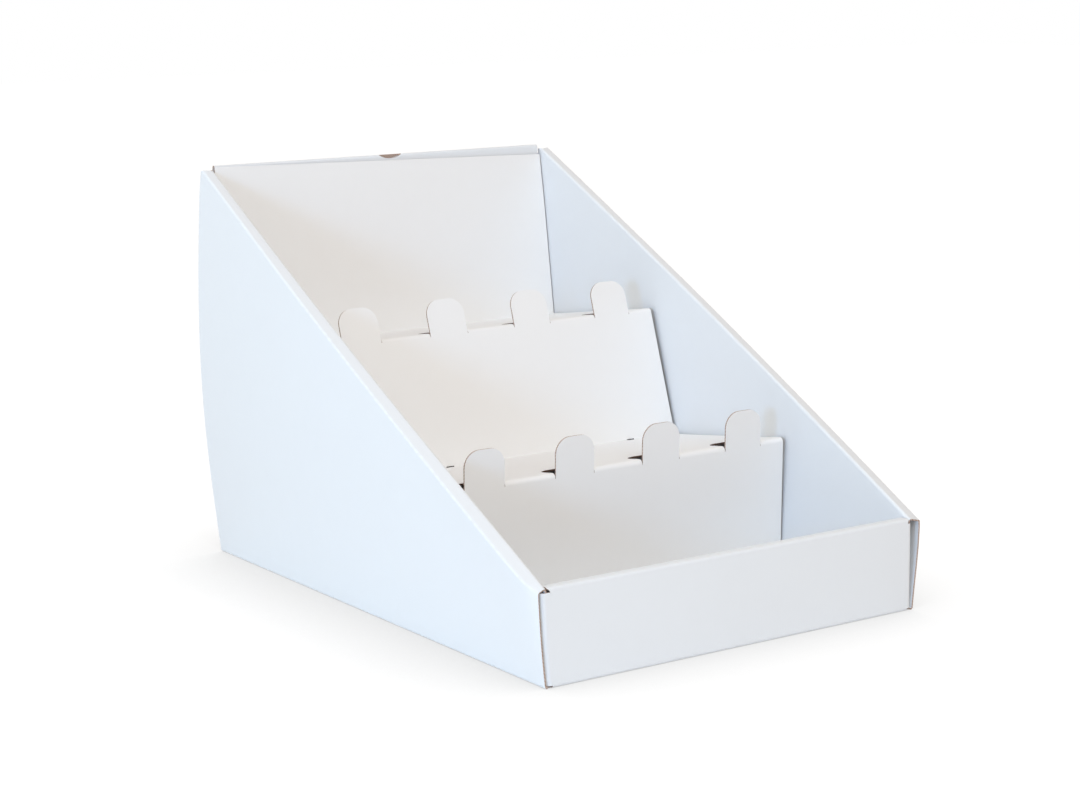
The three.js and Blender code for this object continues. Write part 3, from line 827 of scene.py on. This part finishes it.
class DISPLAYBOX_OT_back_wall(bpy.types.Operator):
    """Rear wall, rolled over to the inside, with its finger notch and two corner flaps"""

    bl_idname = "display_box.back_wall"
    bl_label = "Rear wall"

    def execute(self, context):
        s, look = sizes(), finishes()
        outer = s["half_depth"] - s["half"]
        ridge_crease = min(CREASE, 0.4 * (outer - s["back_ply"]))
        inner_reach = s["half_width"] - REAR_END_GAP

        def reach(k, z):
            if k < 1:
                end = s["half_width"] - BASE_STRIP
            else:
                end = s["crease_end"] if k < REAR_OUTER_ROWS else inner_reach
            return end, end

        rows = roll_over_rows(s, outer, s["back_ply"], s["back_height"], ridge_crease, reach)
        piece = fold_sheet("back_wall", rows)
        thicken(piece, s["board"], look["tray_lining"], look["cut_edge"])
        low = (-LOCK_WIDTH / 2, s["back_ply"] - s["half"])
        high = (LOCK_WIDTH / 2, s["back_ply"] + s["half"])
        parts = [piece, lock(s, piece, low, high, look)]
        radius = (NOTCH["width"] ** 2 / 4 + NOTCH["depth"] ** 2) / (2 * NOTCH["depth"])
        place = (NOTCH["x"], s["back_ply"], s["back_height"] - NOTCH["depth"] + radius)
        deselect()
        bpy.ops.mesh.primitive_cylinder_add(
            vertices=96, radius=radius * MM, depth=(2 * BACK_HOLLOW + s["board"]) * MM,
            location=[c * MM for c in place], rotation=(math.pi / 2, 0, 0))
        notch = bpy.context.object
        bpy.ops.object.transform_apply(location=True, rotation=True, scale=True)
        notch.data.materials.append(look["cut_edge"])
        cut(piece, notch)
        top = s["back_height"] - BACK_FLAP["drop"]
        fall = (s["back_height"] - s["lip_height"]) / s["depth"] * BACK_FLAP["length"]
        for side in (-1, 1):
            parts.append(corner_flap(
                s, side, outer, -1, BACK_FLAP, top, top - fall, "back_flap", look))
        finish_piece(join(parts, "back_wall"), TRAY)
        return {"FINISHED"}


def insert_section(s):
    """Corners of the insert's section, from its front riser's foot to its back panel's top."""
    y1 = s["lip_ply"] + s["half"] + COMPARTMENT + s["half"]
    y2 = y1 + TREAD_ONE[0]
    y3 = y2 + RISER_TWO[1]
    back = s["back_ply"] - s["half"]
    z2 = RISER_ONE[0] - TREAD_ONE[1]
    z3 = z2 + RISER_TWO[0]
    return {
        "foot": Vector((y1 + RISER_ONE[1], s["foot"])),
        "fold_one": Vector((y1, RISER_ONE[0])),
        "valley_one": Vector((y2, z2)),
        "fold_two": Vector((y3, z3)),
        "valley_two": Vector((back - BACK_PANEL_FOOT, z3 - TREAD_TWO_FALL)),
        "rest": Vector((back - REST_GAP - s["half"], s["back_height"] - BACK_EDGE_DROP[0])),
    }


def tangent(radius, before, corner, after):
    """How far from its corner a crease begins."""
    turn = (corner - before).angle(after - corner)
    return radius * math.tan(turn / 2)


def tab_blank(s, name, grow, root, place, up):
    """A flat tab with round upper corners, standing on the riser's plane."""
    deselect()
    bpy.ops.mesh.primitive_plane_add(size=1.0)
    piece = bpy.context.object
    piece.name = piece.data.name = name
    width = s["tab_width"] / 2 + grow
    top = s["tab_height"] + grow
    bpy.ops.object.mode_set(mode="EDIT")
    mesh = bmesh.from_edit_mesh(piece.data)
    for v in mesh.verts:
        v.co = Vector((math.copysign(width, v.co.x), top if v.co.y > 0 else -root, 0)) * MM
        v.select_set(v.co.y > 0)
    mesh.select_flush_mode()
    bmesh.update_edit_mesh(piece.data)
    bpy.ops.mesh.bevel(offset=(s["tab_corner"] + grow) * MM, segments=10, affect="VERTICES")
    bpy.ops.object.mode_set(mode="OBJECT")
    along = Vector((1, 0, 0))
    raised = Vector((0, up.x, up.y))
    turn = Matrix((along, raised, along.cross(raised))).transposed().to_4x4()
    piece.matrix_world = Matrix.Translation(Vector(place) * MM) @ turn
    bpy.ops.object.transform_apply(location=True, rotation=True, scale=True)
    return piece


def tab_places(s):
    """Middle of each tab of a row."""
    count = int((2 * s["insert_half"] - s["tab_width"]) // s["tab_pitch"]) + 1
    return [(i - (count - 1) / 2) * s["tab_pitch"] for i in range(count)]


class DISPLAYBOX_OT_insert(bpy.types.Operator):
    """Stepped insert: two risers, two treads and a back panel, with the holes its tabs leave"""

    bl_idname = "display_box.insert"
    bl_label = "Stepped insert"

    def execute(self, context):
        s, look = sizes(), finishes()
        p = insert_section(s)
        order = ["foot", "fold_one", "valley_one", "fold_two", "valley_two", "rest"]
        radii = [0, STEP_CREASE, CREASE, STEP_CREASE, CREASE, 0]
        corners = []
        for i, name in enumerate(order):
            if i:
                before = p[order[i - 1]]
                for share in (0.34, 0.67):
                    corners.append(tuple(before.lerp(p[name], share)))
            corners.append((*p[name], radii[i]))
        line = folded(corners, steps=6, hold=0.6)
        half_width = s["insert_half"]
        stations = spread(-half_width, half_width, 34)
        rows = []
        for k, (y, z) in enumerate(line):
            on_tread = any(
                p[a].x + WING_INSET < y < p[b].x - WING_INSET
                for a, b in (("fold_one", "valley_one"), ("fold_two", "valley_two")))
            reach = half_width - BASE_STRIP + s["half"] if on_tread else half_width
            row = []
            for x in stations:
                share = (x + half_width) / (2 * half_width)
                slack = INSERT_SLACK * math.sin(math.pi * share) * math.sin(y / 19)
                fall = 0.0
                if k == len(line) - 1:
                    fall = mix(0.0, BACK_EDGE_DROP[1] - BACK_EDGE_DROP[0], share)
                row.append((x / half_width * reach, y, z + slack - fall))
            rows.append(row)
        piece = fold_sheet("insert_steps", rows)
        thicken(piece, s["board"], look["insert_lining"], look["cut_edge"])

        treads = (("foot", "fold_one", "valley_one"), ("valley_one", "fold_two", "valley_two"))
        for before, fold, after in treads:
            up = (p[fold] - p[before]).normalized()
            back = (p[after] - p[fold]).normalized()
            root = tangent(STEP_CREASE, p[before], p[fold], p[after])
            openings, gates = [], []
            for x in tab_places(s):
                place = (x, p[fold].x, p[fold].y)
                opening = tab_blank(s, "opening", CUT_CLEARANCE, 0.0, place, back)
                modifier(opening, "SOLIDIFY", thickness=4 * MM, offset=0.0)
                openings.append(opening)
                gate = tab_blank(s, "gate", CUT_CLEARANCE, root, place, up)
                modifier(gate, "SOLIDIFY", thickness=9 * MM, offset=0.0)
                gates.append(gate)
            # Tab holes get the darkened edge finish, painted shade inside the holes; the gate cuts
            # keep the plain cut edge.
            for group, edge in ((openings, "hole_edge_painted_shade"), (gates, "cut_edge")):
                for cutter in group:
                    outwards(cutter)
                    cutter.data.materials.append(look[edge])
                cut(piece, join(group, "cutter"))
        slits = []
        # The slits' edges get the darkened edge finish: painted shade inside the open slits.
        for x, length in SLITS:
            y, z = p["valley_one"]
            low = (x - length / 2, y - SLIT_DEPTH, z - SLIT_DEPTH)
            high = (x + length / 2, y + SLIT_DEPTH, z + SLIT_DEPTH)
            slits.append(block("slit", low, high, look["hole_edge_painted_shade"]))
        cut(piece, join(slits, "cutter"))
        finish_piece(piece, INSERT)
        return {"FINISHED"}


class DISPLAYBOX_OT_tabs(bpy.types.Operator):
    """Divider tabs that stand up from both folds of the insert"""

    bl_idname = "display_box.tabs"
    bl_label = "Divider tabs"

    def execute(self, context):
        s, look = sizes(), finishes()
        p = insert_section(s)
        tabs = []
        treads = (("foot", "fold_one", "valley_one"), ("valley_one", "fold_two", "valley_two"))
        for before, fold, after in treads:
            up = (p[fold] - p[before]).normalized()
            root = tangent(STEP_CREASE, p[before], p[fold], p[after])
            for x in tab_places(s):
                tab = tab_blank(s, "tab", 0.0, root, (x, p[fold].x, p[fold].y), up)
                thicken(tab, s["board"], look["insert_lining"], look["cut_edge"])
                tabs.append(tab)
        finish_piece(join(tabs, "insert_tabs"), INSERT)
        return {"FINISHED"}


class DISPLAYBOX_OT_wings(bpy.types.Operator):
    """Wings at the ends of both treads, folded down to stand on the base"""

    bl_idname = "display_box.wings"
    bl_label = "Support wings"

    def execute(self, context):
        s, look = sizes(), finishes()
        p = insert_section(s)
        wings = []
        outer = s["insert_half"] - s["half"]
        inner = s["insert_half"] - BASE_STRIP + s["half"]
        for fold, valley in (("fold_one", "valley_one"), ("fold_two", "valley_two")):
            run = (p[valley] - p[fold]).normalized()
            front = p[fold] + run * WING_INSET
            rear = p[valley] - run * WING_INSET
            ends = [front.lerp(rear, share) for share in spread(0, 1, 6)]
            for side in (-1, 1):
                lines = [folded([
                    (inner, end.y), (outer, end.y, WING_CREASE), (outer, end.y / 2),
                    (outer, s["foot"])], steps=5, hold=0.4) for end in ends]
                rows = [[(side * line[k][0], end.x, line[k][1]) for line, end in zip(lines, ends)]
                        for k in range(len(lines[0]))]
                wing = fold_sheet("wing", rows)
                thicken(wing, s["board"], look["insert_lining"], look["cut_edge"])
                wings.append(wing)
        finish_piece(join(wings, "insert_wings"), INSERT)
        return {"FINISHED"}


def camera_matrix():
    """The photograph's viewpoint as a camera matrix."""
    yaw, pitch, roll = CAMERA_TURN
    flat = math.cos(pitch)
    ahead = Vector((math.sin(yaw) * flat, math.cos(yaw) * flat, -math.sin(pitch)))
    level = Vector((math.cos(yaw), -math.sin(yaw), 0.0))
    above = level.cross(ahead)
    right = level * math.cos(roll) + above * math.sin(roll)
    up = above * math.cos(roll) - level * math.sin(roll)
    turn = Matrix((right, up, -ahead)).transposed().to_4x4()
    return Matrix.Translation(CAMERA_PLACE) @ turn


def area_light(name, place, aim, size, energy, colour):
    deselect()
    bpy.ops.object.light_add(type="AREA", location=place)
    lamp = bpy.context.object
    lamp.name = lamp.data.name = name
    lamp.rotation_euler = (Vector(aim) - Vector(place)).to_track_quat("-Z", "Y").to_euler()
    lamp.data.shape = "DISK"
    lamp.data.size = size
    lamp.data.energy = energy
    lamp.data.color = colour
    return lamp


class DISPLAYBOX_OT_stage(bpy.types.Operator):
    """Floor, studio light and the camera at the photograph's viewpoint"""

    bl_idname = "display_box.stage"
    bl_label = "Stage"

    def execute(self, context):
        scene = context.scene
        scene.view_settings.view_transform = "Standard"
        deselect()
        bpy.ops.object.camera_add()
        camera = bpy.context.object
        camera.matrix_world = camera_matrix()
        camera.data.sensor_width = 36.0
        camera.data.lens = CAMERA_LENS
        camera.data.clip_start = 0.05
        scene.camera = camera

        deselect()
        bpy.ops.mesh.primitive_plane_add(size=14.0, location=(0, 0, -0.0001))
        floor = bpy.context.object
        floor.name = floor.data.name = "floor"
        bpy.ops.object.transform_apply(location=True, rotation=True, scale=True)
        floor.data.materials.append(floor_material(scene.display_box_colours.floor))

        for lamp in LAMPS:
            area_light(*lamp)

        world = bpy.data.worlds.new("studio")
        scene.world = world
        world.use_nodes = True
        tree = world.node_tree
        tree.nodes.clear()
        seen = node(tree, "ShaderNodeLightPath")
        sky = node(tree, "ShaderNodeBackground")
        sky.inputs["Color"].default_value = SKY_COLOUR
        sky.inputs["Strength"].default_value = SKY_STRENGTH
        white = node(tree, "ShaderNodeBackground")
        white.inputs["Color"].default_value = (1.0, 1.0, 1.0, 1.0)
        white.inputs["Strength"].default_value = 1.0
        camera_ray, glossy_ray, transmission_ray = (
            seen.outputs[f"Is {kind} Ray"] for kind in ("Camera", "Glossy", "Transmission"))
        rays = math_node(tree, "MAXIMUM", camera_ray, glossy_ray)
        rays = math_node(tree, "MAXIMUM", rays, transmission_ray)
        choose = node(tree, "ShaderNodeMixShader")
        tree.links.new(rays, choose.inputs["Fac"])
        tree.links.new(sky.outputs[0], choose.inputs[1])
        tree.links.new(white.outputs[0], choose.inputs[2])
        out = node(tree, "ShaderNodeOutputWorld")
        tree.links.new(choose.outputs[0], out.inputs["Surface"])
        return {"FINISHED"}


def floor_material(colour):
    """Pale floor, lifted to white for the camera except in the shadow close to the box."""
    made = bpy.data.materials.new("floor")
    made.use_nodes = True
    tree = made.node_tree
    tree.nodes.clear()
    ground = node(tree, "ShaderNodeBsdfDiffuse")
    ground.inputs["Color"].default_value = colour
    near = node(tree, "ShaderNodeAmbientOcclusion", samples=12)
    near.inputs["Distance"].default_value = SHADOW_REACH
    glow = node(tree, "ShaderNodeEmission")
    shadow = math_node(tree, "MULTIPLY_ADD", near.outputs["AO"], SHADOW_DEPTH, SHADOW_LEVEL)
    tree.links.new(shadow, glow.inputs["Strength"])
    seen = node(tree, "ShaderNodeLightPath")
    lifted = node(tree, "ShaderNodeMixShader")
    lift = math_node(tree, "MULTIPLY", seen.outputs["Is Camera Ray"], FLOOR_LIFT)
    tree.links.new(lift, lifted.inputs["Fac"])
    tree.links.new(ground.outputs[0], lifted.inputs[1])
    tree.links.new(glow.outputs[0], lifted.inputs[2])
    out = node(tree, "ShaderNodeOutputMaterial")
    tree.links.new(lifted.outputs[0], out.inputs["Surface"])
    return made


class DISPLAYBOX_PT_panel(bpy.types.Panel):
    """Lists the steps that fold the display box"""

    bl_idname = "DISPLAYBOX_PT_panel"
    bl_label = "Display box"
    bl_space_type = "VIEW_3D"
    bl_region_type = "UI"
    bl_category = "Display box"

    def draw(self, context):
        layout = self.layout
        for step in STEPS:
            layout.operator(step.bl_idname)
        for group in (context.scene.display_box_sizes, context.scene.display_box_colours):
            box = layout.box()
            for key in type(group).__annotations__:
                box.prop(group, key)


STEPS = (
    DISPLAYBOX_OT_base,
    DISPLAYBOX_OT_side_walls,
    DISPLAYBOX_OT_front_lip,
    DISPLAYBOX_OT_back_wall,
    DISPLAYBOX_OT_insert,
    DISPLAYBOX_OT_tabs,
    DISPLAYBOX_OT_wings,
    DISPLAYBOX_OT_stage,
)
CLASSES = (BoxSizes, BoxColours, *STEPS, DISPLAYBOX_PT_panel)


def register():
    for cls in CLASSES:
        bpy.utils.register_class(cls)
    bpy.types.Scene.display_box_sizes = bpy.props.PointerProperty(type=BoxSizes)
    bpy.types.Scene.display_box_colours = bpy.props.PointerProperty(type=BoxColours)


def unregister():
    del bpy.types.Scene.display_box_sizes
    del bpy.types.Scene.display_box_colours
    for cls in reversed(CLASSES):
        bpy.utils.unregister_class(cls)


def main():
    register()
    bpy.ops.display_box.base()
    bpy.ops.display_box.side_walls()
    bpy.ops.display_box.front_lip()
    bpy.ops.display_box.back_wall()
    bpy.ops.display_box.insert()
    bpy.ops.display_box.tabs()
    bpy.ops.display_box.wings()
    bpy.ops.display_box.stage()


if __name__ == "__main__":
    main()
